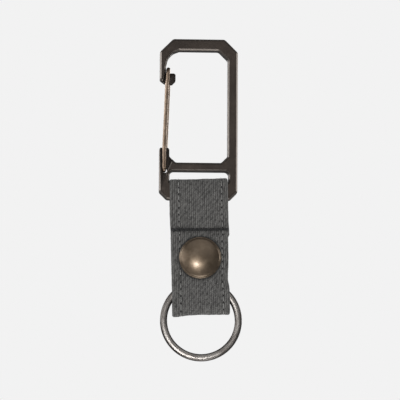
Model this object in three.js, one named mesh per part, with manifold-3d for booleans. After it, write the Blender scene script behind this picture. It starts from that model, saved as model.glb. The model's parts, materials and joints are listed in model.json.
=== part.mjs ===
// A key organiser: a flat carabiner with a wire gate, a canvas strap sewn round its lower bar
// and closed with a press snap, and a split key ring held in the strap's lower loop.
// Millimetres. X runs right, Y runs to the back and Z runs up. The origin is on the flat
// underside of the carabiner's top bar, which is where the organiser hangs.

import * as THREE from "three";
import { mergeVertices } from "three/addons/utils/BufferGeometryUtils.js";
import Module from "manifold-3d";

const wasm = await Module();
wasm.setup();

// ---------- driving dimensions ----------

// Carabiner plate
const plateWidth = 28.9;
const plateTop = 4.3;
const plateBottom = -55.7;
const plateThickness = 5;
const edgeChamfer = 0.45;
const topCorner = 4.9;
const bottomCorner = 2.8;
const rightBar = 3.75;
const leftRail = 3.75;
const windowBottom = -42;
const windowTopCorner = 3.4;
const windowBottomCorner = 2.3;
const crossBarBottom = -45.16;
const lowerBarTop = -49.4;
const slotWidth = 21.7;
const slotCentre = 0.25;
const slotTopRadius = 1.5;
const slotBottomRadius = 0.8;

// Hook, nose and ear, which carry the gate
const hookStart = -7.7;
const hookArm = 2.35;
const hookEnd = -5.4;
const lipTop = -8.55;
const lipRight = -8.6;
const lipChamfer = 1.3;
const noseBottom = -12.7;
const noseTip = -11;
const earTop = -36.4;
const earRound = 0.8;
const webThickness = 2.2;

// Wire gate
const wire = 1.5;
const legSpread = 2;
const gateTop = new THREE.Vector2(-11.23, -6.88);
const gatePivot = new THREE.Vector2(-12.62, -44.6);
const pinStagger = 0.25;
const pinBend = 0.9;
const pinTip = 0.25;
const pinHoleRadius = 1.25;
const pinPlay = 0.2;
const legBow = 0.3;
const bowAtTop = 0.4;
const bowRise = 9;
const bowFall = 5;
const legSpans = 12;
const gateSwing = 25;

// Canvas strap
const strapWidth = 20.9;
const ply = 1.2;
const strapShift = 0.3;
const strapLean = 1.2;
const leanPivot = -52;
const loopHalf = 3.35;
const loopCrest = -48.4;
const loopCorner = 1.9;
const loopEnd = -56.9;
const flexTop = -57.2;
const flexBottom = -63.9;
const legTop = -64.2;
const legBottom = -85.3;
const legY = -2.2;
const seamZ = -66.9;
const lapEnd = -69.5;
const lapY = -0.97;
const foldTop = -85.6;
const foldBottom = -98.2;
const tabTop = -66.6;
const tabRound = 3;

// Thread
const thread = 0.34;
const threadGap = 0.06;
const threadRise = 0.2;
const edgeInset = 2.4;
const edgePitch = 2.5;
const seamPitch = 1.45;
const seamInset = 0.4;

// Press snap
const snapZ = -77.4;
const capRadius = 7.7;
const capHeight = 2.5;
const sheet = 0.45;
const barrel = 1.8;
const canvasHole = 2.25;
const snapSides = 36;

// Split ring
const ringOuter = 15;
const ringBand = 2.6;
const ringStrip = 1.15;
const ringPitch = 1.25;
const ringZ = -100.15;
const ringShift = 0.05;
const ringJog = 32;

// ---------- materials ----------

const finish = (color, roughness, metalness) =>
  new THREE.MeshStandardMaterial({ color, roughness, metalness });

const gunmetal = finish(0x3e3733, 0.45, 0.9);
const antiqueBronze = finish(0x6e5f50, 0.35, 0.95);
const brushedNickel = finish(0xa39c95, 0.3, 1);
const springSteel = finish(0x8d8a86, 0.35, 1);
const greyCanvas = finish(0x585755, 0.95, 0);
const greyThread = finish(0x8b8a86, 0.85, 0);
const blackThread = finish(0x161616, 0.85, 0);

// ---------- helpers ----------

const point = (x, y) => new THREE.Vector2(x, y);
const degrees = (angle) => (angle * Math.PI) / 180;

// The plane of an outline: its own x, its own y and the way it is extruded.
const right = new THREE.Vector3(1, 0, 0);
const back = new THREE.Vector3(0, 1, 0);
const up = new THREE.Vector3(0, 0, 1);
const facing = new THREE.Matrix4().makeBasis(right, up, back.clone().negate());
const sideways = new THREE.Matrix4().makeBasis(back, up, right);

function extruded(shape, depth, plane, bevel = 0) {
  const geometry = new THREE.ExtrudeGeometry(shape, {
    depth: depth - 2 * bevel,
    curveSegments: 5,
    bevelEnabled: bevel > 0,
    bevelThickness: bevel,
    bevelSize: bevel,
    bevelOffset: -bevel,
    bevelSegments: 1,
  });
  geometry.translate(0, 0, bevel - depth / 2);
  return geometry.applyMatrix4(plane);
}

// A solid of revolution about Y. The profile lists radius and depth.
function turned(profile, onAxis) {
  const points = profile.map(([radius, depth]) => point(radius, depth));
  if (THREE.ShapeUtils.isClockWise(points)) {
    points.reverse();
  }
  if (!onAxis) {
    points.push(points[0].clone());
  }
  return new THREE.LatheGeometry(points, snapSides);
}

function swept(section, path, steps) {
  const settings = { extrudePath: path, steps, curveSegments: 1 };
  return new THREE.ExtrudeGeometry(section, settings);
}

function polygon(sides, radius) {
  const corners = [];
  for (let i = 0; i < sides; i++) {
    const angle = (2 * Math.PI * i) / sides;
    corners.push(point(radius * Math.cos(angle), radius * Math.sin(angle)));
  }
  return new THREE.Shape(corners);
}

// The closed outline of a strip of even thickness along a list of points.
function strip(points, thickness) {
  const centre = points.filter((at, i) => i === 0 || at.distanceTo(points[i - 1]) > 0.01);
  const sides = [-1, 1].map((side) =>
    centre.map((at, i) => {
      const before = centre[Math.max(i - 1, 0)];
      const after = centre[Math.min(i + 1, centre.length - 1)];
      const arriving = at.clone().sub(i ? before : after).normalize();
      const leaving = after.clone().sub(i === centre.length - 1 ? before : at).normalize();
      if (i === 0) {
        arriving.copy(leaving);
      }
      if (i === centre.length - 1) {
        leaving.copy(arriving);
      }
      const along = arriving.clone().add(leaving).normalize();
      const reach = (side * thickness) / 2 / Math.max(along.dot(leaving), 0.5);
      return point(at.x - along.y * reach, at.y + along.x * reach);
    }),
  );
  return new THREE.Shape([...sides[0], ...sides[1].reverse()]);
}

function toSolid(geometry) {
  const bare = geometry.index ? geometry.toNonIndexed() : geometry.clone();
  bare.deleteAttribute("normal");
  bare.deleteAttribute("uv");
  const merged = mergeVertices(bare, 1e-4);
  return new wasm.Manifold(
    new wasm.Mesh({
      numProp: 3,
      vertProperties: merged.attributes.position.array,
      triVerts: new Uint32Array(merged.index.array),
    }),
  );
}

function toGeometry(solid) {
  const mesh = solid.getMesh();
  const geometry = new THREE.BufferGeometry();
  geometry.setAttribute("position", new THREE.BufferAttribute(mesh.vertProperties, 3));
  geometry.setIndex(new THREE.BufferAttribute(mesh.triVerts, 1));
  geometry.computeVertexNormals();
  return geometry;
}

function cut(geometry, cutters) {
  let solid = toSolid(geometry);
  for (const cutter of cutters) {
    solid = solid.subtract(toSolid(cutter));
  }
  return toGeometry(solid);
}

function named(name, geometry, material) {
  const mesh = new THREE.Mesh(geometry, material);
  mesh.name = name;
  return mesh;
}

// ---------- carabiner ----------

// The wire's centre line in the front view, as X at a height.
function gateX(z) {
  const share = (z - gatePivot.y) / (gateTop.y - gatePivot.y);
  return gatePivot.x + share * (gateTop.x - gatePivot.x);
}

function plateOutline() {
  const half = plateWidth / 2;
  const railEdge = leftRail - half;
  const barEdge = half - rightBar;
  const armEdge = hookArm - half;
  const outline = new THREE.Shape();
  outline.moveTo(topCorner - half, plateTop);
  outline.lineTo(half - topCorner, plateTop);
  outline.lineTo(half, plateTop - topCorner);
  outline.lineTo(half, plateBottom + bottomCorner);
  outline.lineTo(half - bottomCorner, plateBottom);
  outline.lineTo(bottomCorner - half, plateBottom);
  outline.lineTo(-half, plateBottom + bottomCorner);
  outline.lineTo(-half, earTop - earRound);
  outline.lineTo(earRound - half, earTop);
  outline.lineTo(railEdge - earRound, earTop);
  outline.lineTo(railEdge, earTop - earRound);
  outline.lineTo(railEdge, windowBottom + windowBottomCorner);
  outline.lineTo(railEdge + windowBottomCorner, windowBottom);
  outline.lineTo(barEdge - windowBottomCorner, windowBottom);
  outline.lineTo(barEdge, windowBottom + windowBottomCorner);
  outline.lineTo(barEdge, -windowTopCorner);
  outline.lineTo(barEdge - windowTopCorner, 0);
  outline.lineTo(hookStart, 0);
  outline.quadraticCurveTo(-11, -2.4, armEdge, hookEnd);
  outline.lineTo(armEdge - 0.15, (hookEnd + lipTop) / 2);
  outline.lineTo(armEdge, lipTop);
  outline.lineTo(lipRight - 0.6, lipTop);
  outline.lineTo(lipRight, lipTop - 0.6);
  outline.lineTo(lipRight, noseBottom + lipChamfer);
  outline.lineTo(lipRight - lipChamfer, noseBottom);
  outline.lineTo(armEdge - 0.1, noseBottom);
  outline.lineTo(-half, noseTip);
  outline.lineTo(-half, plateTop - topCorner);
  return outline;
}

function strapSlot() {
  const left = slotCentre - slotWidth / 2;
  const far = slotCentre + slotWidth / 2;
  const low = slotBottomRadius;
  const high = slotTopRadius;
  const slot = new THREE.Path();
  slot.absarc(left + low, lowerBarTop + low, low, Math.PI, 1.5 * Math.PI);
  slot.absarc(far - low, lowerBarTop + low, low, 1.5 * Math.PI, 2 * Math.PI);
  slot.absarc(far - high, crossBarBottom - high, high, 0, 0.5 * Math.PI);
  slot.absarc(left + high, crossBarBottom - high, high, 0.5 * Math.PI, Math.PI);
  return slot;
}

// The nose is thinned from both faces, so that the wire's legs pass either side of it.
function noseRecess() {
  const room = 0.6;
  const top = lipTop + 0.3;
  const bottom = noseBottom - 1;
  const wall = (z) => gateX(z) - wire / 2 - room;
  const far = lipRight + 1;
  const corners = [
    point(wall(top), top),
    point(far, top),
    point(far, bottom),
    point(wall(bottom), bottom),
  ];
  return new THREE.Shape(corners);
}

// The ear's channel ends round below the wire and widens upwards, which lets the legs swing.
function earRecess() {
  const wallX = -13.9;
  const endRadius = 1.25;
  const endZ = gatePivot.y - pinStagger;
  const flareX = wallX + 2 * endRadius;
  const flareTop = -38;
  const reach = (flareTop - endZ) * Math.tan(degrees(gateSwing));
  const recess = new THREE.Shape();
  recess.moveTo(wallX, earTop + 1);
  recess.lineTo(wallX, endZ);
  recess.absarc(wallX + endRadius, endZ, endRadius, Math.PI, 2 * Math.PI);
  recess.lineTo(flareX + reach, flareTop);
  recess.lineTo(flareX + reach, earTop + 1);
  return recess;
}

// One obround hole takes both staggered ends of the wire.
function pinHole() {
  const hole = new THREE.Shape();
  const { x, y } = gatePivot;
  hole.absarc(x + pinPlay, y + pinStagger, pinHoleRadius, 0, Math.PI);
  hole.absarc(x + pinPlay, y - pinStagger, pinHoleRadius, Math.PI, 2 * Math.PI);
  return hole;
}

function carabinerFrame() {
  const outline = plateOutline();
  outline.holes.push(strapSlot());
  const plate = extruded(outline, plateThickness, facing, edgeChamfer);
  const cutters = [extruded(pinHole(), plateThickness, facing)];
  for (const side of [-1, 1]) {
    for (const recess of [noseRecess(), earRecess()]) {
      const cutter = extruded(recess, plateThickness, facing);
      cutter.translate(0, (side * (plateThickness + webThickness)) / 2, 0);
      cutters.push(cutter);
    }
  }
  return named("carabiner_frame", cut(plate, cutters), gunmetal);
}

// How far the legs bow apart sideways at a height, as a share of the most.
function bow(z) {
  const corner = gateTop.y - legSpread;
  const rise = THREE.MathUtils.smoothstep(z, gatePivot.y, gatePivot.y + bowRise);
  const fall = THREE.MathUtils.smoothstep(z, corner - bowFall, corner);
  return rise * (1 - (1 - bowAtTop) * fall);
}

// One wire: in at the front of the ear, up, over the nose's notch, down and in at the back.
function wireGate() {
  const path = new THREE.CurvePath();
  const at = (y, z) => new THREE.Vector3(gateX(z) + (legBow * bow(z) * y) / legSpread, y, z);
  const corner = gateTop.y - legSpread;
  const leg = (y, from, to) => {
    const step = (to - from) / legSpans;
    const heights = Array.from({ length: legSpans + 1 }, (_, i) => from + i * step);
    return new THREE.CatmullRomCurve3(heights.map((z) => at(y, z)));
  };
  const knee = (side) => gatePivot.y + side * pinStagger;
  const pin = (side, y, z) => new THREE.Vector3(gatePivot.x, side * y, z);
  const frontKnee = knee(-1);
  const rearKnee = knee(1);
  const legStart = at(-legSpread, frontKnee + pinBend);
  const legFinish = at(legSpread, rearKnee + pinBend);
  const frontBend = pin(-1, legSpread - pinBend, frontKnee);
  const rearBend = pin(1, legSpread - pinBend, rearKnee);
  path.add(new THREE.LineCurve3(pin(-1, pinTip, frontKnee), frontBend));
  path.add(new THREE.QuadraticBezierCurve3(frontBend, pin(-1, legSpread, frontKnee), legStart));
  path.add(leg(-legSpread, legStart.z, corner));
  const turn = [];
  for (let i = 0; i <= 8; i++) {
    const angle = Math.PI * (1 - i / 8);
    turn.push(at(legSpread * Math.cos(angle), corner + legSpread * Math.sin(angle)));
  }
  path.add(new THREE.CatmullRomCurve3(turn));
  path.add(leg(legSpread, corner, legFinish.z));
  path.add(new THREE.QuadraticBezierCurve3(legFinish, pin(1, legSpread, rearKnee), rearBend));
  path.add(new THREE.LineCurve3(rearBend, pin(1, pinTip, rearKnee)));
  return named("wire_gate", swept(polygon(8, wire / 2), path, 84), antiqueBronze);
}

// ---------- canvas ----------

// Centre lines of the canvas in the side view, as depth and height.
function loopLine() {
  const line = new THREE.Path();
  const turnY = loopHalf - loopCorner;
  const turnZ = loopCrest - loopCorner;
  line.moveTo(-loopHalf, loopEnd);
  line.lineTo(-loopHalf, turnZ);
  line.absarc(-turnY, turnZ, loopCorner, Math.PI, Math.PI / 2, true);
  line.lineTo(turnY, loopCrest);
  line.absarc(turnY, turnZ, loopCorner, Math.PI / 2, 0, true);
  line.lineTo(loopHalf, loopEnd);
  return line;
}

function foldLine() {
  const radius = -legY;
  const centreZ = foldBottom + ply / 2 + radius;
  const line = new THREE.Path();
  line.moveTo(-radius, foldTop);
  line.lineTo(-radius, centreZ);
  line.absarc(0, centreZ, radius, Math.PI, 2 * Math.PI);
  line.lineTo(radius, foldTop);
  return line;
}

function straightLine(y, from, to) {
  const line = new THREE.Path();
  line.moveTo(y, from);
  line.lineTo(y, to);
  return line;
}

function topLoop() {
  const shape = strip(loopLine().getPoints(5), ply);
  return named("strap_top_loop", extruded(shape, strapWidth, sideways), greyCanvas);
}

// Below the bar both plies run together towards the seam; this stretch bends as the strap swings.
function flexBand() {
  const outer = loopHalf + ply / 2;
  const inner = loopHalf - ply / 2;
  const front = legY - ply / 2;
  const corners = [
    point(-outer, flexTop),
    point(front, flexBottom),
    point(lapY + ply / 2 + 0.45, flexBottom),
    point(outer, flexTop),
    point(inner, flexTop),
    point(legY + ply / 2 + 0.35, flexBottom + 0.7),
    point(-inner, flexTop),
  ];
  const shape = new THREE.Shape(corners);
  return named("strap_flex_band", extruded(shape, strapWidth, sideways), greyCanvas);
}

// The front ply, with the end of the loop's back ply lapped and sewn behind its top.
function frontLeg() {
  const front = legY - ply / 2;
  const rear = legY + ply / 2;
  const lapRear = lapY + ply / 2;
  const corners = [
    point(front, legTop),
    point(front, legBottom),
    point(rear, legBottom),
    point(rear, lapEnd),
    point(lapRear - 0.3, lapEnd),
    point(lapRear, lapEnd + 0.3),
    point(lapRear, seamZ),
    point(lapRear + 0.3, legTop),
  ];
  const leg = extruded(new THREE.Shape(corners), strapWidth, sideways);
  return named("strap_front_leg", cut(leg, [snapHole(legY)]), greyCanvas);
}

function bottomFold() {
  const shape = strip(foldLine().getPoints(10), ply);
  return named("strap_bottom_fold", extruded(shape, strapWidth, sideways), greyCanvas);
}

// The back ply carries the stud half of the snap and has a free upper end with round corners.
function snapTab() {
  const half = strapWidth / 2;
  const outline = new THREE.Shape();
  outline.moveTo(-half, foldTop + 0.3);
  outline.lineTo(half, foldTop + 0.3);
  outline.absarc(half - tabRound, tabTop - tabRound, tabRound, 0, Math.PI / 2);
  outline.absarc(tabRound - half, tabTop - tabRound, tabRound, Math.PI / 2, Math.PI);
  const tab = extruded(outline, ply, facing).translate(0, -legY, 0);
  return named("strap_snap_tab", cut(tab, [snapHole(-legY)]), greyCanvas);
}

function snapHole(y) {
  const hole = new THREE.CylinderGeometry(canvasHole, canvasHole, 2 * ply, 24);
  return hole.translate(0, y, snapZ);
}

// ---------- stitching ----------

// Share of one stitch's length, and how far the thread stands up there.
const stitchProfile = [
  [0.08, 0],
  [0.22, threadRise],
  [0.74, threadRise],
  [0.9, 0],
];

// Thread along a line on the canvas, on its left side (1) or its right side (-1).
function stitchRow(line, pitch, side) {
  const count = Math.round(line.getLength() / pitch);
  const centre = [];
  for (let i = 0; i < count; i++) {
    for (const [share, rise] of stitchProfile) {
      const along = (i + share) / count;
      const at = line.getPointAt(along);
      const way = line.getTangentAt(along);
      const lift = side * (ply / 2 + threadGap + thread / 2 + rise);
      centre.push(point(at.x - way.y * lift, at.y + way.x * lift));
    }
  }
  return strip(centre, thread);
}

function edgeStitching(label, line, side) {
  const inset = strapWidth / 2 - edgeInset;
  const ends = { left: -inset, right: inset };
  return Object.entries(ends).map(([end, x]) => {
    const geometry = extruded(stitchRow(line, edgePitch, side), thread, sideways);
    return named(`${label}_stitching_${end}`, geometry.translate(x, 0, 0), greyThread);
  });
}

// A row across the strap, on the face that looks to the front (-1) or to the back (1).
function acrossStitching(label, y, z, side, pitch, inset, material) {
  const reach = strapWidth / 2 - inset;
  const line = new THREE.LineCurve(point(-reach, y), point(reach, y));
  const geometry = extruded(stitchRow(line, pitch, side), thread, new THREE.Matrix4());
  return named(`${label}_stitching`, geometry.translate(0, 0, z), material);
}

// ---------- press snap ----------

// The cap's shell: a low dome whose rim is rolled under.
function snapCap() {
  const rimY = legY - ply / 2 - 0.1;
  const shoulder = rimY - 1;
  const crown = rimY - capHeight;
  const profile = [[0, crown]];
  for (let i = 1; i <= 5; i++) {
    const angle = (Math.PI / 2) * (i / 5);
    const rise = (shoulder - crown) * Math.cos(angle);
    profile.push([(capRadius - 0.35) * Math.sin(angle), shoulder - rise]);
  }
  profile.push([capRadius, shoulder + 0.4]);
  profile.push([capRadius, rimY - 0.25]);
  profile.push([capRadius - 0.3, rimY]);
  profile.push([capRadius - 1.1, rimY]);
  profile.push([capRadius - 1.1, rimY - sheet]);
  profile.push([capRadius - sheet, rimY - sheet]);
  for (let i = 4; i >= 1; i--) {
    const angle = (Math.PI / 2) * (i / 5);
    const rise = (shoulder - crown - sheet) * Math.cos(angle);
    profile.push([(capRadius - 0.6) * Math.sin(angle), shoulder - rise]);
  }
  profile.push([0, crown + sheet]);
  return named("snap_cap", turned(profile, true), antiqueBronze);
}

// A disc inside the cap, with the post that passes the front ply and is spread in the socket.
function snapCapPost() {
  const discRear = legY - ply / 2 - 0.7;
  const discFront = discRear - sheet;
  const tip = -1.05;
  const profile = [
    [0, discFront],
    [capRadius - 1.6, discFront],
    [capRadius - 1.6, discRear],
    [barrel, discRear],
    [barrel, tip - 0.15],
    [barrel - 0.25, tip],
    [barrel - 0.6, tip],
    [barrel - 0.6, discRear - 0.1],
    [0, discRear - 0.1],
  ];
  return named("snap_cap_post", turned(profile, true), springSteel);
}

function snapSocket() {
  const front = legY + ply / 2 + 0.05;
  const rear = 0.4;
  const profile = [
    [barrel + 0.15, front],
    [5.9, front],
    [6.2, front + 0.3],
    [6.2, rear - 0.5],
    [5.6, rear],
    [3.05, rear],
    [3.05, rear - 0.35],
    [4.1, rear - 0.35],
    [4.1, rear - 1.05],
    [3.05, rear - 1.05],
    [3.05, front + 0.4],
    [barrel + 0.15, front + 0.4],
  ];
  return named("snap_socket", turned(profile, false), antiqueBronze);
}

// The open wire ring in the socket's groove that grips the stud.
function snapSocketSpring() {
  const radius = 3.45;
  const size = 0.22;
  const opening = 50;
  const path = new THREE.CatmullRomCurve3(
    Array.from({ length: 13 }, (_, i) => {
      const angle = degrees(opening / 2 + (i * (360 - opening)) / 12);
      return new THREE.Vector3(radius * Math.cos(angle), -0.3, radius * Math.sin(angle));
    }),
  );
  return named("snap_socket_spring", swept(polygon(6, size), path, 26), springSteel);
}

function snapStud() {
  const rear = -legY - ply / 2 - 0.05;
  const bore = 1.85;
  const profile = [
    [bore, rear],
    [5.6, rear],
    [5.6, rear - 0.4],
    [3.2, rear - 0.62],
    [2.4, rear - 0.75],
    [2.4, rear - 1.2],
    [2.75, rear - 1.6],
    [2.6, rear - 2],
    [2.2, rear - 2.2],
    [bore, rear - 2.2],
  ];
  return named("snap_stud", turned(profile, false), antiqueBronze);
}

// The rivet that holds the stud: a rolled flange on the back and a barrel into the stud.
function snapEyelet() {
  const face = -legY + ply / 2 + 0.05;
  const bore = 1.05;
  const barrelRadius = 1.6;
  const profile = [
    [bore, -0.1],
    [bore, face + 0.15],
    [bore + 0.5, face + 0.6],
    [3.9, face + 0.75],
    [4.75, face + 0.55],
    [5, face + 0.2],
    [4.8, face],
    [barrelRadius, face],
    [barrelRadius, -0.1],
  ];
  return named("snap_eyelet", turned(profile, false), antiqueBronze);
}

// ---------- split ring ----------

// Two flat turns side by side in depth, joined where the strip steps from one to the other.
class RingCoil extends THREE.Curve {
  getPoint(share, target = new THREE.Vector3()) {
    const step = degrees(ringJog);
    const gap = degrees(4);
    const turn = 2 * Math.PI - gap;
    const angle = share * (2 * turn - step);
    const across = THREE.MathUtils.smoothstep(angle, turn - step, turn);
    const radius = ringOuter - ringBand / 2;
    const around = Math.PI / 2 + step / 2 + angle;
    const depth = ringPitch * (across - 0.5);
    return target.set(radius * Math.cos(around), depth, radius * Math.sin(around));
  }
}

function splitRing() {
  const half = point(ringStrip / 2, ringBand / 2);
  const corner = 0.3;
  const section = new THREE.Shape([
    point(half.x, corner - half.y),
    point(half.x, half.y - corner),
    point(half.x - corner, half.y),
    point(corner - half.x, half.y),
    point(-half.x, half.y - corner),
    point(-half.x, corner - half.y),
    point(corner - half.x, -half.y),
    point(half.x - corner, -half.y),
  ]);
  return named("split_ring", swept(section, new RingCoil(), 88), brushedNickel);
}

// ---------- assembly ----------

const frontFace = -1;
const backFace = 1;

// The strap and all it carries lean a little to the right as they hang.
const strap = new THREE.Group();
strap.add(topLoop(), flexBand(), frontLeg(), bottomFold(), snapTab());
strap.add(...edgeStitching("loop", loopLine(), 1));
strap.add(...edgeStitching("leg", straightLine(legY, legBottom, seamZ - 0.5), 1));
strap.add(...edgeStitching("fold", foldLine(), -1));
strap.add(...edgeStitching("tab", straightLine(-legY, tabTop - edgeInset - 1, foldTop + 0.3), 1));
strap.add(
  acrossStitching("cross_seam", legY, seamZ, frontFace, seamPitch, seamInset, blackThread),
  acrossStitching("seam_back", lapY, seamZ, backFace, seamPitch, seamInset, blackThread),
  acrossStitching("tab_end", -legY, tabTop - edgeInset, backFace, edgePitch, edgeInset, greyThread),
);

const snap = new THREE.Group();
snap.position.z = snapZ;
snap.add(snapCap(), snapCapPost(), snapSocket(), snapSocketSpring(), snapStud(), snapEyelet());
strap.add(snap);

const ring = splitRing();
ring.position.set(ringShift, 0, ringZ);
strap.add(ring);

for (const piece of strap.children) {
  piece.position.z -= leanPivot;
}
strap.position.set(strapShift, 0, leanPivot);
strap.rotation.y = -degrees(strapLean);

const keyOrganiser = new THREE.Group();
keyOrganiser.add(carabinerFrame(), wireGate(), strap);

export default keyOrganiser;
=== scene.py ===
# %% [markdown]
# # A key organiser
#
# The object is a small piece of everyday carry: a flat carabiner with a wire gate, a canvas strap
# sewn round its lower bar and shut by a press snap, and a split ring in the strap's bottom loop.
# A CAD model already fixes every size and every joint. This lesson keeps those as its frame, and
# makes the surfaces that a camera sees: worn plating, woven canvas, thread, drawn wire.
#
# The imported model is loaded first.

import json
import math

import bmesh
import bpy
import numpy as np
from mathutils import Matrix, Vector
from mathutils.geometry import tessellate_polygon


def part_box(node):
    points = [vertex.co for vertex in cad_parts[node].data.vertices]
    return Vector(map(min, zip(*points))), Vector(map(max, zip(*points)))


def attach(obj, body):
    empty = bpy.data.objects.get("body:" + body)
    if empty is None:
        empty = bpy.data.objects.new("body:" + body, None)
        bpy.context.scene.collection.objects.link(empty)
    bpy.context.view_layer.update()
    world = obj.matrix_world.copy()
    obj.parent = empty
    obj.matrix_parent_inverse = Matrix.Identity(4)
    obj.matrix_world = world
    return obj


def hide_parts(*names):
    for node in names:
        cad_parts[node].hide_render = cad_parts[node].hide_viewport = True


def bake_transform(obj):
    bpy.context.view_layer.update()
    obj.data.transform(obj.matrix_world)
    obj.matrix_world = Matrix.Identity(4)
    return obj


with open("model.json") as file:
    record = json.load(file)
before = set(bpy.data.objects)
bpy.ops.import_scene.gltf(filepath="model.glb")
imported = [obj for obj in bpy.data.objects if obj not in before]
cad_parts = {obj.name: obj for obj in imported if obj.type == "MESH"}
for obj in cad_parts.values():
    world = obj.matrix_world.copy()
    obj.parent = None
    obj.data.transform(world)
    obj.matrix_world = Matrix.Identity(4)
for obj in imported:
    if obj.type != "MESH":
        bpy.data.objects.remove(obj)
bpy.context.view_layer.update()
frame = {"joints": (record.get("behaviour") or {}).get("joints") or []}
MM = 0.001

# %% [markdown]
# ## Where the strap hangs
#
# The strap leans a little as it hangs, and everything on it shares that lean. The joints carry it:
# the hinge at the top of the strap gives one point and the way across, and the ring's axis gives a
# second point. One matrix turns the strap's own millimetres into the frame's metres, so the cloth
# and its stitches can be worked out upright. Heights count down from the carabiner's top bar, as
# they do in the CAD.

# %% The strap's own millimetres
joints = {joint["name"]: joint for joint in frame["joints"]}
SWING_HEIGHT = -57.2
across = Vector(joints["strap_swing"]["axis"]).normalized()
depthwise = Vector((0, 1, 0))
upward = across.cross(depthwise)
swing_point = Vector(joints["strap_swing"]["pos_m"])
swing_point.y = 0
strap_frame = Matrix.Translation(swing_point)
strap_frame @= Matrix((across, depthwise, upward)).transposed().to_4x4()
strap_frame @= Matrix.Scale(MM, 4) @ Matrix.Translation((0, 0, -SWING_HEIGHT))
plate_frame = Matrix.Scale(MM, 4)


ring_axis = strap_frame.inverted() @ Vector(joints["ring_spin"]["pos_m"])
RING_HEIGHT = round(ring_axis.z, 2)
snap_low, snap_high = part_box("snap_cap")
snap_centre = strap_frame.inverted() @ ((snap_low + snap_high) / 2)
SNAP_HEIGHT = round(snap_centre.z, 2)
lean = math.degrees(across.angle((1, 0, 0)))
print("ring axis at", RING_HEIGHT, "snap at", SNAP_HEIGHT, "lean", round(lean, 2))

# %% [markdown]
# ## Meshes from numbers
#
# Nearly every piece here is either swept or turned. A sweep carries one section along a line: the
# wire, the ring, each stitch and the cloth itself are all sweeps. A turned piece spins a profile,
# as a press tool leaves it. Both are written once, with numpy, and both store how far each point
# lies along and across its own piece. Materials read that attribute, so a weave or a brushed
# streak follows the piece round every bend and stays with it when a joint moves.

# %% Make a mesh object
LAY = "lay"


def mesh_piece(name, points, faces, lay, place=strap_frame, sharp=35):
    """A new object. `points` and `lay` are in millimetres, and `place` puts them in the frame."""
    mesh = bpy.data.meshes.new(name)
    mesh.from_pydata([place @ Vector(p) for p in points], [], faces)
    attribute = mesh.attributes.new(LAY, "FLOAT_VECTOR", "POINT")
    attribute.data.foreach_set("vector", np.asarray(lay, np.float32).ravel())
    mesh.validate()
    mesh.shade_smooth()
    mesh.set_sharp_from_angle(angle=math.radians(sharp))
    piece = bpy.data.objects.new(name, mesh)
    bpy.context.scene.collection.objects.link(piece)
    return piece


def grid_faces(rows, columns, first=0, round_rows=False):
    """Quads between rows of points; each row is a closed loop."""
    faces = []
    for row in range(rows if round_rows else rows - 1):
        here = first + row * columns
        there = first + ((row + 1) % rows) * columns
        for i in range(columns):
            j = (i + 1) % columns
            faces.append((here + i, there + i, there + j, here + j))
    return faces


# %% Sweep a section along a line
def headings(line):
    """The direction of a line at each of its points."""
    ahead = np.gradient(np.asarray(line, float), axis=0)
    return ahead / np.linalg.norm(ahead, axis=1)[:, None]


def sweep(line, ups, sections, first=0):
    """Points and faces of a section carried along a line.

    `sections` holds (side, up) offsets: one list for all stations, or a list for each.
    """
    line = np.asarray(line, float)
    ahead = headings(line)
    ups = np.broadcast_to(np.asarray(ups, float), line.shape)
    side = np.cross(ahead, ups)
    side /= np.linalg.norm(side, axis=1)[:, None]
    up = np.cross(side, ahead)
    sections = np.asarray(sections, float)
    if sections.ndim == 2:
        sections = np.broadcast_to(sections, (len(line), *sections.shape))
    points = line[:, None] + side[:, None] * sections[..., :1] + up[:, None] * sections[..., 1:]
    rows, columns = sections.shape[:2]
    faces = grid_faces(rows, columns, first)
    faces.append(tuple(range(first, first + columns)))
    faces.append(tuple(reversed(range(first + (rows - 1) * columns, first + rows * columns))))
    return points.reshape(-1, 3), faces


def ellipse(width, height, count, squareness=2.0):
    """A closed oval section; squareness above 2 fills its corners."""
    angle = 2 * np.pi * np.arange(count) / count
    power = 2 / squareness
    c, s = np.cos(angle), np.sin(angle)
    x = width / 2 * np.sign(c) * np.abs(c) ** power
    y = height / 2 * np.sign(s) * np.abs(s) ** power
    return np.stack([x, y], axis=1)


def run_length(line):
    """How far each point lies along a line."""
    steps = np.linalg.norm(np.diff(np.asarray(line, float), axis=0), axis=1)
    return np.concatenate([[0], np.cumsum(steps)])


# %% What a sweep's material reads
def sweep_lay(runs, around, off=None):
    """The lay of a sweep: a run for each station, the other two for each point of a section."""
    around = np.asarray(around, float)
    off = np.zeros(len(around)) if off is None else off
    count = len(runs)
    rows = [np.repeat(runs, len(around)), np.tile(around, count), np.tile(off, count)]
    return np.stack(rows, axis=1)


def outward(piece):
    """Turns every face of a closed piece outwards."""
    shell = bmesh.new()
    shell.from_mesh(piece.data)
    bmesh.ops.recalc_face_normals(shell, faces=shell.faces)
    shell.to_mesh(piece.data)
    shell.free()
    return piece


# %% Turn a profile
LATHE_SIDES = 96


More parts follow.
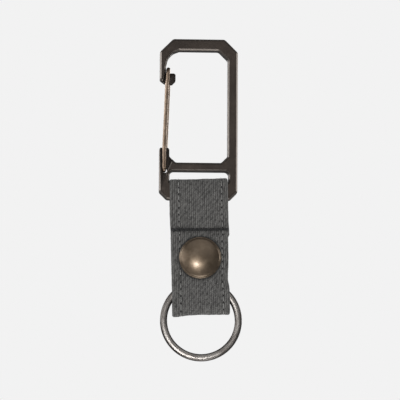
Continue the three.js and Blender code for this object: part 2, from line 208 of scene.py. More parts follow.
def turned(name, profile, height=SNAP_HEIGHT, sharp=35):
    """A lathe piece about the strap's depth axis. The profile lists radius and depth."""
    profile = np.asarray(profile, float)
    lengths = run_length(profile)
    points, lay, rows = [], [], []
    for (radius, depth), along in zip(profile, lengths):
        count = 1 if radius < 1e-6 else LATHE_SIDES
        rows.append(range(len(points), len(points) + count))
        for i in range(count):
            angle = 2 * math.pi * i / LATHE_SIDES
            points.append((radius * math.cos(angle), depth, height + radius * math.sin(angle)))
            lay.append((radius, radius * angle, along))
    faces = []
    closed = profile[0][0] > 1e-6
    pairs = list(zip(rows, rows[1:])) + ([(rows[-1], rows[0])] if closed else [])
    for a, b in pairs:
        for i in range(LATHE_SIDES):
            j = (i + 1) % LATHE_SIDES
            if len(a) == 1:
                faces.append((a[0], b[i], b[j]))
            elif len(b) == 1:
                faces.append((a[i], b[0], a[j]))
            else:
                faces.append((a[i], b[i], b[j], a[j]))
    return outward(mesh_piece(name, points, faces, lay, sharp=sharp))


# %% Round the corners of a path
def rounded_path(corners, steps=6):
    """A closed or open path whose corners, given as (x, y, radius), are turned into arcs."""
    path = []
    count = len(corners)
    for i, (x, y, radius) in enumerate(corners):
        here = Vector((x, y))
        if radius <= 0:
            path.append((x, y))
            continue
        before = (Vector(corners[i - 1][:2]) - here).normalized()
        after = (Vector(corners[(i + 1) % count][:2]) - here).normalized()
        half = before.angle(after) / 2
        reach = radius / math.tan(half)
        centre = here + (before + after).normalized() * (radius / math.sin(half))
        start = here + before * reach - centre
        turn = start.angle_signed(here + after * reach - centre)
        for step in range(steps + 1):
            spoke = start.copy()
            spoke.rotate(Matrix.Rotation(-turn * step / steps, 2))
            path.append(tuple(centre + spoke))
    return path


# %% [markdown]
# ## Shader maths as Python
#
# A finish is mostly arithmetic: a streak here, less of it where the edge is rubbed. The class below
# wraps one output socket, and Python's operators on it add Math nodes, so a mask reads as a
# formula. Colours and vectors go through Mix and Vector Math instead, because a Math node would
# turn a colour grey. Any other node comes from `node`, which sets the node's own options first and
# its inputs after.


# %% The wrapped socket
class Wire:
    """One output of a node; arithmetic on it adds Math nodes to the same material."""

    def __init__(self, finish, socket):
        self.finish = finish
        self.socket = socket

    def maths(self, operation, *values):
        settings = {"operation": operation}
        return self.finish.node("ShaderNodeMath", settings, dict(enumerate(values)))

    def __add__(self, other):
        return self.maths("ADD", self, other)

    def __radd__(self, other):
        return self.maths("ADD", other, self)

    def __sub__(self, other):
        return self.maths("SUBTRACT", self, other)

    def __rsub__(self, other):
        return self.maths("SUBTRACT", other, self)

    def __mul__(self, other):
        return self.maths("MULTIPLY", self, other)

    def __rmul__(self, other):
        return self.maths("MULTIPLY", other, self)

    def __truediv__(self, other):
        return self.maths("DIVIDE", self, other)

    def __pow__(self, other):
        return self.maths("POWER", self, other)

    def __abs__(self):
        return self.maths("ABSOLUTE", self)

    def floor(self):
        return self.maths("FLOOR", self)

    def part(self):
        """What is left after the whole number."""
        return self.maths("FRACT", self)

    def least(self, other):
        return self.maths("MINIMUM", self, other)

    def most(self, other):
        return self.maths("MAXIMUM", self, other)

    def between(self, low, high):
        """0 below `low`, 1 above `high`, smooth between; `low` may be the larger."""
        settings = {"interpolation_type": "SMOOTHSTEP"}
        values = {"Value": self, "From Min": low, "From Max": high}
        return self.finish.node("ShaderNodeMapRange", settings, values)


# %% A material in the making
class Finish:
    """One material; every node that it needs is made through it."""

    def __init__(self, name):
        self.material = bpy.data.materials.new(name)
        self.material.use_nodes = True
        self.tree = self.material.node_tree
        self.tree.nodes.clear()

    def node(self, kind, settings=None, values=None, output=0):
        """Any node: its type, its options, then its inputs as numbers or wires.

        The answer is one output, by place or by name, or nothing for a node without outputs.
        """
        made = self.tree.nodes.new(kind)
        for option, setting in (settings or {}).items():
            setattr(made, option, setting)
        for socket, value in (values or {}).items():
            if isinstance(value, Wire):
                self.tree.links.new(value.socket, made.inputs[socket])
            else:
                made.inputs[socket].default_value = value
        if output is None:
            return None
        if isinstance(output, int):
            usable = [s for s in made.outputs if s.enabled]
            return Wire(self, usable[output])
        return Wire(self, made.outputs[output])

    def split(self, vector):
        """The three parts of a vector."""
        parts = self.node("ShaderNodeSeparateXYZ", values={0: vector}).socket.node.outputs
        return [Wire(self, part) for part in parts]

    def lay(self):
        """Millimetres along, across and off the piece."""
        stored = self.node("ShaderNodeAttribute", {"attribute_name": LAY}, output="Vector")
        return self.split(stored)

    def place(self, x, y, z=0.0):
        return self.node("ShaderNodeCombineXYZ", values={0: x, 1: y, 2: z})

    def noise(self, at, scale=1.0, detail=2.0, roughness=0.5):
        values = {"Vector": at, "Scale": scale, "Detail": detail, "Roughness": roughness}
        return self.node("ShaderNodeTexNoise", values=values, output="Fac")

    def mix(self, share, a, b):
        """From colour a to colour b."""
        made = self.tree.nodes.new("ShaderNodeMix")
        made.data_type = "RGBA"
        for socket, value in ((0, share), (6, a), (7, b)):
            if isinstance(value, Wire):
                self.tree.links.new(value.socket, made.inputs[socket])
            else:
                made.inputs[socket].default_value = value
        return Wire(self, made.outputs[2])

    def bump(self, height, distance, strength=1.0):
        values = {"Height": height, "Distance": distance * MM, "Strength": strength}
        return self.node("ShaderNodeBump", values=values)

    def shown(self, surface):
        """The finished material, from the shader that it shows."""
        self.node("ShaderNodeOutputMaterial", values={"Surface": surface}, output=None)
        return self.material

    def done(self, values):
        return self.shown(self.node("ShaderNodeBsdfPrincipled", values=values))


# %% Colours
def colour(red, green, blue):
    """A paint-card colour, 0 to 255, as the linear light that a shader takes."""

    def linear(value):
        share = value / 255
        return share / 12.92 if share <= 0.04045 else ((share + 0.055) / 1.055) ** 2.4

    return (linear(red), linear(green), linear(blue), 1.0)


# %% [markdown]
# ## Camera, light and floor
#
# The organiser hangs in front of a plain pale ground and is seen nearly straight on, from a little
# below and a little to the left, through a long lens that keeps its sides parallel. Square lamps
# stand round it: a small strong one gives the snap its highlight, wide weak ones fill the front,
# and one at each side, one below and two behind draw the edges. None of them shows in the lens.

# %% Camera
AIM = Vector((0.76, 0.0, -55.6)) * MM
CAMERA_DISTANCE = 1.0
CAMERA_LEFT = math.radians(2.25)
CAMERA_BELOW = math.radians(8.0)
CAMERA_ROLL = math.radians(0.33)
SENSOR = 36.0
VIEW_HEIGHT = 0.1474

lens = bpy.data.cameras.new("camera")
lens.sensor_width = SENSOR
lens.lens = SENSOR * CAMERA_DISTANCE / VIEW_HEIGHT
camera = bpy.data.objects.new("camera", lens)
bpy.context.scene.collection.objects.link(camera)
towards_camera = Vector(
    (
        -math.sin(CAMERA_LEFT) * math.cos(CAMERA_BELOW),
        -math.cos(CAMERA_LEFT) * math.cos(CAMERA_BELOW),
        -math.sin(CAMERA_BELOW),
    )
)
look = (-towards_camera).to_track_quat("-Z", "Y").to_matrix()
camera.matrix_world = (
    Matrix.Translation(AIM + towards_camera * CAMERA_DISTANCE)
    @ look.to_4x4()
    @ Matrix.Rotation(CAMERA_ROLL, 4, "Z")
)
bpy.context.scene.camera = camera
bpy.context.scene.view_settings.view_transform = "Standard"
print("lens", round(lens.lens, 1), "mm")

# %% Lights
def softbox(name, position, size, power, tint=(1.0, 1.0, 1.0)):
    """A square lamp that faces the organiser and that the lens can't see."""
    lamp = bpy.data.lights.new(name, "AREA")
    lamp.shape = "SQUARE"
    lamp.size = size
    lamp.energy = power
    lamp.color = tint
    fixture = bpy.data.objects.new(name, lamp)
    bpy.context.scene.collection.objects.link(fixture)
    fixture.location = position
    facing = AIM - Vector(position)
    fixture.rotation_euler = facing.to_track_quat("-Z", "Y").to_euler()
    fixture.visible_camera = False


softbox("front", (-0.14, -1.25, -0.27), 0.13, 4.8)
softbox("front_left", (-0.75, -0.75, 0.1), 0.5, 1.7, (1.0, 0.98, 0.96))
softbox("front_high", (0.1, -0.8, 0.45), 0.8, 1.5)
softbox("left", (-0.85, -0.05, 0.2), 0.5, 4.0, (0.96, 0.98, 1.0))
softbox("right", (0.85, 0.05, 0.16), 0.5, 3.0)
softbox("below", (0.0, -0.12, -0.36), 0.22, 0.45)
softbox("back_left", (-0.55, 0.9, 0.25), 0.6, 4.0)
softbox("back_right", (0.6, 0.9, 0.1), 0.6, 4.0)

# %% [markdown]
# The room itself is pale to the eye and to rough surfaces, but dark in a reflection. That is what
# makes polished metal in a studio read as metal: bright panels with darkness between them. The
# floor, far beneath, is treated in the same way: pale, but darker in a mirror.

# %% World
world = bpy.data.worlds.new("studio")
bpy.context.scene.world = world
world.use_nodes = True
studio = world.node_tree
studio.nodes.clear()


def room_light(level):
    made = studio.nodes.new("ShaderNodeBackground")
    made.inputs["Color"].default_value = (level, level, level, 1)
    return made.outputs[0]


def seen_by(rays, seen, others):
    """One light for a kind of ray, and another for the rest."""
    choice = studio.nodes.new("ShaderNodeMixShader")
    studio.links.new(path.outputs[rays], choice.inputs[0])
    studio.links.new(others, choice.inputs[1])
    studio.links.new(seen, choice.inputs[2])
    return choice.outputs[0]


path = studio.nodes.new("ShaderNodeLightPath")
mirrored, scattered, seen = (room_light(x) for x in (0.12, 0.62, colour(242, 242, 242)[0]))
light = seen_by("Is Camera Ray", seen, seen_by("Is Glossy Ray", mirrored, scattered))
out = studio.nodes.new("ShaderNodeOutputWorld")
studio.links.new(light, out.inputs["Surface"])

# %% Floor
FLOOR_HEIGHT = -0.42
FLOOR_REACH = 4.0
floor_mesh = bpy.data.meshes.new("floor")
square = ((-1, -1), (1, -1), (1, 1), (-1, 1))
corners = [(x * FLOOR_REACH, y * FLOOR_REACH, FLOOR_HEIGHT) for x, y in square]
floor_mesh.from_pydata(corners, [], [(0, 1, 2, 3)])
floor = bpy.data.objects.new("floor", floor_mesh)
bpy.context.scene.collection.objects.link(floor)
pale = Finish("pale_floor")


def floor_paint(level):
    paint = {"Base Color": colour(level, level, level), "Roughness": 0.9}
    return pale.node("ShaderNodeBsdfPrincipled", values=paint)


mirror_ray = pale.node("ShaderNodeLightPath", output="Is Glossy Ray")
paints = {0: mirror_ray, 1: floor_paint(240), 2: floor_paint(130)}
floor_mesh.materials.append(pale.shown(pale.node("ShaderNodeMixShader", values=paints)))

# %% [markdown]
# ## The carabiner
#
# The carabiner is cut from one flat plate: a window with a hook at its upper left, a cross bar, a
# slot below it, and a lower bar that the strap is sewn round. Its edges are tumbled round, so the
# light runs along them in a thin line. A plate with rounded edges could be bevelled, but a bevel
# stumbles over the short edges of the hook. Here each level of the rounding is the outline itself,
# drawn in by a little, which gives an even round everywhere.

# %% Outline of the plate
HALF_WIDTH = 14.45
PLATE_THICKNESS = 5.0
EDGE_EASE = 0.75

plate_corners = [
    (-9.55, 4.3, 1.6),
    (9.55, 4.3, 1.6),
    (HALF_WIDTH, -0.6, 1.6),
    (HALF_WIDTH, -52.9, 1.2),
    (11.65, -55.7, 1.2),
    (-11.65, -55.7, 1.2),
    (-HALF_WIDTH, -52.9, 1.2),
    (-HALF_WIDTH, -36.4, 0.95),
    (-10.7, -36.4, 0.95),
    (-10.7, -39.7, 1.0),
    (-8.4, -42.0, 1.0),
    (8.4, -42.0, 1.0),
    (10.7, -39.7, 1.0),
    (10.7, -3.4, 1.6),
    (7.3, 0.0, 1.6),
    (-7.3, 0.0, 1.2),
    (-9.75, -0.95, 3.0),
    (-11.4, -3.0, 4.0),
    (-12.15, -6.0, 3.0),
    (-12.15, -8.55, 0.0),
    (-8.6, -8.55, 0.75),
    (-8.6, -11.4, 0.8),
    (-9.9, -12.7, 0.8),
    (-12.2, -12.7, 0.8),
    (-HALF_WIDTH, -11.0, 0.8),
    (-HALF_WIDTH, -0.6, 1.6),
]
slot_corners = [
    (-10.6, -45.16, 1.5),
    (-10.6, -49.4, 0.8),
    (11.1, -49.4, 0.8),
    (11.1, -45.16, 1.5),
]


# %% Draw an outline in
def drawn_in(outline, distance, inside):
    """The outline moved by `distance` towards the metal; `inside` is -1 for a hole."""
    outline = np.asarray(outline, float)
    before = outline - np.roll(outline, 1, axis=0)
    after = np.roll(outline, -1, axis=0) - outline
    before /= np.linalg.norm(before, axis=1)[:, None]
    after /= np.linalg.norm(after, axis=1)[:, None]
    normal_before = np.stack([before[:, 1], -before[:, 0]], axis=1)
    normal_after = np.stack([after[:, 1], -after[:, 0]], axis=1)
    mitre = normal_before + normal_after
    mitre /= np.maximum((mitre * normal_before).sum(axis=1), 0.3)[:, None]
    return outline + mitre * distance * inside


def area_of(outline):
    outline = np.asarray(outline, float)
    x, z = outline[:, 0], outline[:, 1]
    return 0.5 * float(np.sum(x * np.roll(z, -1) - z * np.roll(x, -1)))


def without_doubles(outline, gap=0.02):
    kept = []
    for x, z in outline:
        if not kept or math.dist(kept[-1], (x, z)) > gap:
            kept.append((x, z))
    if math.dist(kept[0], kept[-1]) <= gap:
        kept.pop()
    return kept


# %% Build the plate, level by level
# A tumbled chamfer: how far in from the rim and how deep, as shares of its size.
CHAMFER = ((1.0, 0.0), (0.82, 0.04), (0.74, 0.1), (0.1, 0.74), (0.03, 0.86), (0.0, 1.0))


def plate_piece(name, outlines, thickness, edge):
    """A flat plate with rounded edges. The first outline is its rim, and the others are holes."""
    points, faces, rims = [], [], []
    for index, outline in enumerate(outlines):
        outline = without_doubles(outline)
        clockwise = area_of(outline) < 0
        inside = 1 if clockwise else -1
        inside = inside if index == 0 else -inside
        half = thickness / 2
        profile = [(edge * inset, edge * depth - half) for inset, depth in CHAMFER]
        profile += [(inset, -depth) for inset, depth in reversed(profile)]
        start = len(points)
        for inset, depth in profile:
            ring = drawn_in(outline, inset, inside)
            points += [(x, depth, z) for x, z in ring]
        faces += grid_faces(len(profile), len(outline), start)
        last = start + (len(profile) - 1) * len(outline)
        rims.append((start, last, len(outline)))
    for which in (0, 1):
        loops = [range(rim[which], rim[which] + rim[2]) for rim in rims]
        flat = [i for loop in loops for i in loop]
        fill = tessellate_polygon(
            [[Vector((points[i][0], points[i][2], 0)) for i in loop] for loop in loops]
        )
        faces += [tuple(flat[i] for i in triangle) for triangle in fill]
    return outward(mesh_piece(name, points, faces, points, place=plate_frame))


plate = plate_piece(
    "carabiner_plate",
    [rounded_path(plate_corners), rounded_path(slot_corners)],
    PLATE_THICKNESS,
    EDGE_EASE,
)
print("plate:", len(plate.data.polygons), "faces before it is cut")

# %% [markdown]
# The nose of the hook and the ear at the bottom left are thinned from both faces, so that the
# gate's two legs can pass them, and the ear is drilled for the ends of the wire. These are machine
# cuts, so they are booleans. Weighted normals then keep the big flat faces flat in the light.

# %% Cut the nose and the ear
WEB_THICKNESS = 2.2
GATE_PIVOT = (-12.62, -44.6)
GATE_TOP = (-11.23, -6.88)
WIRE = 1.5
PIN_STAGGER = 0.25
PIN_BORE = 0.85
PIN_PLAY = 0.28
HOLE_STRETCH = 0.1
EAR_RADIUS = 1.25
EAR_WALL = -13.9


def gate_x(z):
    """The wire's centre line in the front view."""
    share = (z - GATE_PIVOT[1]) / (GATE_TOP[1] - GATE_PIVOT[1])
    return GATE_PIVOT[0] + share * (GATE_TOP[0] - GATE_PIVOT[0])


def cutter(name, outline, depth, shift):
    points = [(x, shift + side * depth / 2, z) for side in (-1, 1) for x, z in outline]
    count = len(outline)
    faces = [tuple(range(count)), tuple(reversed(range(count, 2 * count)))]
    for i in range(count):
        j = (i + 1) % count
        faces.append((i, i + count, j + count, j))
    return outward(mesh_piece(name, points, faces, points, place=plate_frame))


def arc(centre, radius, start, end, steps=10):
    angles = np.radians(np.linspace(start, end, steps + 1))
    return [(centre[0] + radius * math.cos(a), centre[1] + radius * math.sin(a)) for a in angles]


NOSE_TOP, NOSE_BOTTOM, NOSE_RIGHT = -8.25, -13.7, -7.6
WIRE_ROOM = 1.35
nose_cut = [
    (gate_x(NOSE_TOP) - WIRE_ROOM, NOSE_TOP),
    (NOSE_RIGHT, NOSE_TOP),
    (NOSE_RIGHT, NOSE_BOTTOM),
    (gate_x(NOSE_BOTTOM) - WIRE_ROOM, NOSE_BOTTOM),
]
EAR_TOP, EAR_FLARE_END, EAR_FLARE = -35.4, -38.0, 3.2
ear_right = EAR_WALL + 2 * EAR_RADIUS + EAR_FLARE
ear_end = (EAR_WALL + EAR_RADIUS, GATE_PIVOT[1] - PIN_STAGGER)
ear_cut = [(EAR_WALL, EAR_TOP), *arc(ear_end, EAR_RADIUS, 180, 360)]
ear_cut += [(ear_right, EAR_FLARE_END), (ear_right, EAR_TOP)]
hole_x = GATE_PIVOT[0] + PIN_PLAY
hole_z = GATE_PIVOT[1] - PIN_STAGGER
pin_hole = arc((hole_x, hole_z + HOLE_STRETCH), PIN_BORE, 0, 180)
pin_hole += arc((hole_x, hole_z - HOLE_STRETCH), PIN_BORE, 180, 360)

cuts = [cutter("pin_hole", pin_hole, 2 * PLATE_THICKNESS, 0)]
for side in (-1, 1):
    shift = side * (PLATE_THICKNESS + WEB_THICKNESS) / 2
    cuts.append(cutter("nose_cut", nose_cut, PLATE_THICKNESS, shift))
    cuts.append(cutter("ear_cut", ear_cut, PLATE_THICKNESS, shift))
for cut in cuts:
    step = plate.modifiers.new(cut.name, "BOOLEAN")
    step.object = cut
    step.solver = "EXACT"
flatten = plate.modifiers.new("flat_faces", "WEIGHTED_NORMAL")
flatten.keep_sharp = True


def settle_modifiers(piece):
    """Replaces a piece's mesh by what its modifiers make of it."""
    bpy.context.view_layer.update()
    made = piece.evaluated_get(bpy.context.evaluated_depsgraph_get())
    mesh = bpy.data.meshes.new_from_object(made)
    piece.modifiers.clear()
    piece.data = mesh
    return piece


settle_modifiers(plate)
plate.data.name = plate.name
for cut in cuts:
    bpy.data.objects.remove(cut)
print("plate:", len(plate.data.polygons), "faces after the cuts")

# %% [markdown]
# ### Dark gunmetal
#
# The plate is plated a dark brown-black and then tumbled, so it is satin and slightly mottled.
# The rounded edges are painted lighter: partly metal rubbed through, partly a painted highlight of
# the lamps below and beside. The mask is found from the surface's own direction: on this flat part,
# only the rounded edges face neither the front nor the side. Where the face turns into the rounded
# edge a thin painted shade line runs, and the thinned nose and ear are painted dark as shade, since
# they sit back from the faces. Fine grain and faint scratches go into the bump, and the scratches
# also lighten the colour a little.

# %% Gunmetal
gunmetal = Finish("gunmetal_plate")
spot = gunmetal.node("ShaderNodeTexCoord", output="Object")
facing = gunmetal.split(gunmetal.node("ShaderNodeTexCoord", output="Normal"))
slope = facing[1] * facing[1]
edge = 4 * slope * (1 - slope)
mottle = gunmetal.noise(spot, 420, 4, 0.62)
cloudy = gunmetal.noise(spot, 90, 3, 0.55)
grain = gunmetal.noise(spot, 5200, 2, 0.6)
drawn_out = {"Vector": spot, "Rotation": (0, 0.5, 0), "Scale": (9000, 3000, 250)}
stretched = gunmetal.node("ShaderNodeMapping", values=drawn_out)
scratch = gunmetal.noise(stretched, 1, 2, 0.5).between(0.63, 0.72)
# Rounded edges: partly metal rubbed through, partly a painted highlight of the lamps.
edge_wear_and_highlight = edge.between(0.45, 0.95) * (0.6 + 0.4 * mottle)
# A painted shade line where the flat face turns into the rounded edge.
painted_edge_shade = edge.between(0.02, 0.12) * edge.between(0.6, 0.3)
depth = abs(gunmetal.split(spot)[1])
# Painted shade on the thinned nose and ear, which sit back from the faces.
painted_recess_shade = slope.between(0.4, 0.7) * depth.between(1.5 * MM, 1.3 * MM)
base = gunmetal.mix(cloudy.between(0.35, 0.68), colour(52, 46, 42), colour(62, 55, 50))
base = gunmetal.mix(mottle.between(0.55, 0.75) * 0.35, base, colour(80, 72, 66))
base = gunmetal.mix(edge_wear_and_highlight * 0.6, base, colour(128, 121, 115))
base = gunmetal.mix(scratch * 0.2, base, colour(116, 109, 103))
# Both painted shades darken the colour towards near black.
base = gunmetal.mix((painted_edge_shade * 0.6).most(painted_recess_shade * 0.75), base, colour(24, 21, 19))
gunmetal_material = gunmetal.done(
    {
        "Base Color": base,
        "Metallic": 0.85,
        "Roughness": 0.42 + 0.18 * (cloudy - 0.5) + 0.12 * (mottle - 0.5) - 0.1 * edge_wear_and_highlight,
        "Normal": gunmetal.bump(grain + 0.6 * mottle - 0.3 * scratch, 0.02),
        "Specular IOR Level": 0.5,
    }
)
plate.data.materials.clear()
plate.data.materials.append(gunmetal_material)
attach(plate, "carabiner")
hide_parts("carabiner_frame")

# %% [markdown]
# ## The gate
#
# One piece of round spring wire is bent to a long U. It comes out of the ear, runs up the front,
# turns over the nose's notch and runs down the back, and its two ends are bent in and sit in the
# ear at slightly different heights. That stagger is what springs the gate shut. It is one sweep of
# a round section, with the bends sampled finely.

# %% Bend the wire
LEG_SPREAD = 2.0
PIN_BEND = 0.9
PIN_TIP = 0.25
LEG_BOW = 0.3
BOW_AT_TOP = 0.4
BOW_RISE = 9.0
BOW_FALL = 5.0
TURN_HEIGHT = GATE_TOP[1] - LEG_SPREAD


def eased(value):
    """0 to 1 with a soft start and end."""
    value = np.clip(value, 0, 1)
    return value * value * (3 - 2 * value)


def gate_point(y, z):
    """A point of a leg; the legs bow apart sideways between the ear and the nose."""
    rise = float(eased((z - GATE_PIVOT[1]) / BOW_RISE))
    fall = float(eased((z - TURN_HEIGHT + BOW_FALL) / BOW_FALL))
    bow = rise * (1 - (1 - BOW_AT_TOP) * fall)
    return (gate_x(z) + LEG_BOW * bow * y / LEG_SPREAD, y, z)


def quarter(start, corner, end, steps=8):
    """A bend from start to end that leans on a corner point."""
    shares = np.linspace(0, 1, steps + 1)[:, None]
    start, corner, end = (np.asarray(p, float) for p in (start, corner, end))
    return (1 - shares) ** 2 * start + 2 * shares * (1 - shares) * corner + shares**2 * end


def gate_leg(side):
    """From the pin in the ear to the start of the upper turn."""
    knee = GATE_PIVOT[1] + side * PIN_STAGGER
    y = side * LEG_SPREAD
    x = GATE_PIVOT[0]
    pin = [(x, side * PIN_TIP, knee), (x, side * (LEG_SPREAD - PIN_BEND) * 0.5, knee)]
    bend = quarter(
        (x, side * (LEG_SPREAD - PIN_BEND), knee),
        (x, y, knee),
        gate_point(y, knee + PIN_BEND),
    )
    heights = np.linspace(knee + PIN_BEND, TURN_HEIGHT, 36)[1:]
    return [*pin, *map(tuple, bend), *[gate_point(y, z) for z in heights]]


turn_over = []
for angle in np.linspace(math.pi, 0, 17)[1:-1]:
    z = TURN_HEIGHT + LEG_SPREAD * math.sin(angle)
    turn_over.append(gate_point(LEG_SPREAD * math.cos(angle), z))
gate_line = gate_leg(-1) + turn_over + gate_leg(1)[::-1]
WIRE_SIDES = 20
gate_points, gate_faces = sweep(gate_line, (1, 0, 0), ellipse(WIRE, WIRE, WIRE_SIDES))
gate_runs = run_length(gate_line)
gate_lay = sweep_lay(gate_runs, np.arange(WIRE_SIDES) * math.pi * WIRE / WIRE_SIDES)
gate = outward(mesh_piece("gate_wire", gate_points, gate_faces, gate_lay, place=plate_frame))
print("gate: wire", round(float(gate_runs[-1]), 1), "mm long")

# %% [markdown]
# ### Antique bronze
#
# The gate and the snap share a brown bronze plating that is brighter than the plate. It shows the
# lines of the tool that made it: along the drawn wire, and round the turned cap. A thin clear
# lacquer gives it a paler highlight. One function makes both, and takes which way the lines run.

# %% Bronze
def bronze_finish(name, line_scale, low, high, roughness, relief):
    """Plated bronze with tool lines; `line_scale` says how tight they are along each way."""
    bronze = Finish(name)
    along, around, off = bronze.lay()
    sx, sy, sz = line_scale
    lines = bronze.noise(bronze.place(along * sx, around * sy, off * sz), 1, 3, 0.6)
    spot = bronze.node("ShaderNodeTexCoord", output="Object")
    cloudy = bronze.noise(spot, 260, 3, 0.6)
    specks = bronze.noise(spot, 2600, 2, 0.6).between(0.66, 0.74)
    base = bronze.mix(cloudy.between(0.35, 0.7), colour(*low), colour(*high))
    base = bronze.mix(specks * 0.5, base, colour(60, 50, 42))
    return bronze.done(
        {
            "Base Color": base,
            "Metallic": 0.95,
            "Roughness": roughness + 0.12 * (lines - 0.5) + 0.1 * (cloudy - 0.5) + 0.1 * specks,
            "Coat Weight": 0.3,
            "Coat Roughness": 0.2,
            "Normal": bronze.bump(lines - 0.4 * specks, relief),
        }
    )


wire_bronze = bronze_finish(
    "wire_bronze", (0.12, 7.0, 1.0), (112, 95, 80), (140, 122, 106), 0.34, 0.012
)
gate.data.materials.append(wire_bronze)
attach(gate, "gate")
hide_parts("wire_gate")

# %% [markdown]
# ## The canvas
#
# The strap is one strip of heavy canvas with its long edges folded in and stitched. It starts
# behind the front ply, runs up the back of the lower bar, over it, down the front past the snap,
# round the key ring and up the back to a free end. A flat grid with a cloth simulation would lose
# the sewn edges, so the strip is swept: a thick section with round edges follows a centre line, and
# a relief function presses in the stitch rows and the cross seam.
#
# It bends at three places, so it is made as three pieces that meet just above the ring. Each piece
# starts exactly where the last one ended, and the length is counted on, so the weave runs through.

# %% The centre lines, seen from the side
STRAP_WIDTH = 20.9
PLY = 1.2
STATION = 0.25
LEG_Y = -2.2
FRONT_CUT = -86.0
SEAM_HEIGHT = -66.9
TAB_TOP = -66.6
LOOP_HALF = 3.35
LOOP_CREST = -48.4
LOOP_CORNER = 1.9
FOLD_CENTRE = -95.4


def evenly(line, step=STATION, softness=2.0):
    """A line resampled at even steps, with its corners eased as cloth eases them."""
    line = np.asarray(line, float)
    lengths = run_length(line)
    count = max(int(round(lengths[-1] / step)), 2) + 1
    at = np.linspace(0, lengths[-1], count)
    even = np.stack([np.interp(at, lengths, line[:, k]) for k in (0, 1)], axis=1)
    reach = int(4 * softness)
    kernel = np.exp(-0.5 * (np.arange(-reach, reach + 1) / softness) ** 2)
    kernel /= kernel.sum()
    padded = np.concatenate(
        [
            2 * even[0] - even[1 : reach + 1][::-1],
            even,
            2 * even[-1] - even[-reach - 1 : -1][::-1],
        ]
    )
    return np.stack([np.convolve(padded[:, k], kernel, "valid") for k in (0, 1)], axis=1)


turn_y, turn_z = LOOP_HALF - LOOP_CORNER, LOOP_CREST - LOOP_CORNER
upper_line = [
    (-0.97, -69.5),
    (-0.97, -66.9),
    (-0.6, -64.0),
    (LOOP_HALF, -57.0),
    *arc((turn_y, turn_z), LOOP_CORNER, 0, 90),
    *arc((-turn_y, turn_z), LOOP_CORNER, 90, 180),
    (-LOOP_HALF, -57.0),
    (LEG_Y, -63.9),
    (LEG_Y, FRONT_CUT),
]
fold_line = [
    (LEG_Y, FRONT_CUT),
    *arc((0, FOLD_CENTRE), -LEG_Y, 180, 360, 16),
    (-LEG_Y, FRONT_CUT),
]
tab_line = [(-LEG_Y, FRONT_CUT), (-LEG_Y, TAB_TOP)]
lines = {
    "upper": evenly(upper_line),
    "fold": evenly(fold_line, softness=1.0),
    "tab": evenly(tab_line),
}
starts = {"upper": 0.0}
starts["fold"] = float(run_length(lines["upper"])[-1])
starts["tab"] = starts["fold"] + float(run_length(lines["fold"])[-1])
print("canvas strip:", round(starts["tab"] + run_length(lines["tab"])[-1], 1), "mm long")

# %% [markdown]
# Real webbing is never straight to the tenth. `hang` moves any point of the strap a little: the
# edges wander, the right one steps in below the cross seam, the bottom flares where the ring pulls
# it, the crest lies a little askew and one lower corner hangs. Cloth and stitches both go through
# it, so they stay together.


# %% How the cloth hangs and how its face is pressed
def wander(position, seed):
    """A slow, even-handed wobble between about -1 and 1."""
    return (
        0.5 * np.sin(0.71 * position + seed)
        + 0.3 * np.sin(1.63 * position + 2.1 * seed)
        + 0.2 * np.sin(3.37 * position + 3.7 * seed)
    )


# How far down, how far out the left edge stands there, and the right edge.
EDGE_DRIFT = (
    (57.0, 0.34, 0.13),
    (61.0, 0.41, 0.2),
    (64.4, 0.37, 0.25),
    (66.6, 0.28, 0.4),
    (68.9, 0.2, 0.46),
    (69.8, 0.14, 0.0),
    (77.6, 0.09, 0.0),
    (81.0, 0.05, -0.12),
    (83.5, 0.0, -0.3),
    (85.6, -0.02, -0.34),
    (87.2, -0.02, 0.0),
    (89.0, -0.06, 0.18),
    (98.0, 0.0, 0.25),
)
RIPPLE = 0.03
CREST_SAG = 0.25
CORNER_SAG = 0.6


def hang(points):
    """Small displacements of the cloth, in the strap's millimetres."""
    points = np.array(points, float)
    x, z = points[:, 0], points[:, 2]
    reach = x / (STRAP_WIDTH / 2)
    left, right = np.clip(-reach, 0, 1), np.clip(reach, 0, 1)
    down, left_out, right_out = np.transpose(EDGE_DRIFT)
    points[:, 0] += (np.interp(-z, down, right_out) + RIPPLE * wander(z * 2.3, 1.3)) * right
    points[:, 0] -= (np.interp(-z, down, left_out) + RIPPLE * wander(z * 2.1, 4.1)) * left
    points[:, 2] -= CREST_SAG * eased(0.5 - reach / 2) * eased((z + 51.5) / 2)
    points[:, 2] -= CORNER_SAG * eased((left - 0.05) / 0.95) * eased((-91 - z) / 6)
    return points


ROW_LEFT = -7.3
ROW_RIGHT = 8.1
EDGE_PITCH = 2.5
EDGE_RADIUS = 0.6
FIRST_STITCH = 1.6
tab_row = starts["tab"] + 15.6


def past_row(x):
    """How far a place lies beyond the nearer stitch row, towards the edge."""
    return np.where(x < 0, ROW_LEFT - x, x - ROW_RIGHT)


def from_hole(s):
    """How far the nearest needle hole is along a stitch row."""
    return np.abs((s / EDGE_PITCH + 0.5) % 1 - 0.5) * EDGE_PITCH


def dent(distance, width):
    """1 at the middle of a pressed line, and soon 0 beside it."""
    return np.exp(-((distance / width) ** 2))


ROW_DEPTH = 0.13
ROW_WIDTH = 0.42
SEAM_DEPTH = 0.12
SNAP_DEPTH = 0.12
FRONT_PLY = 30.0


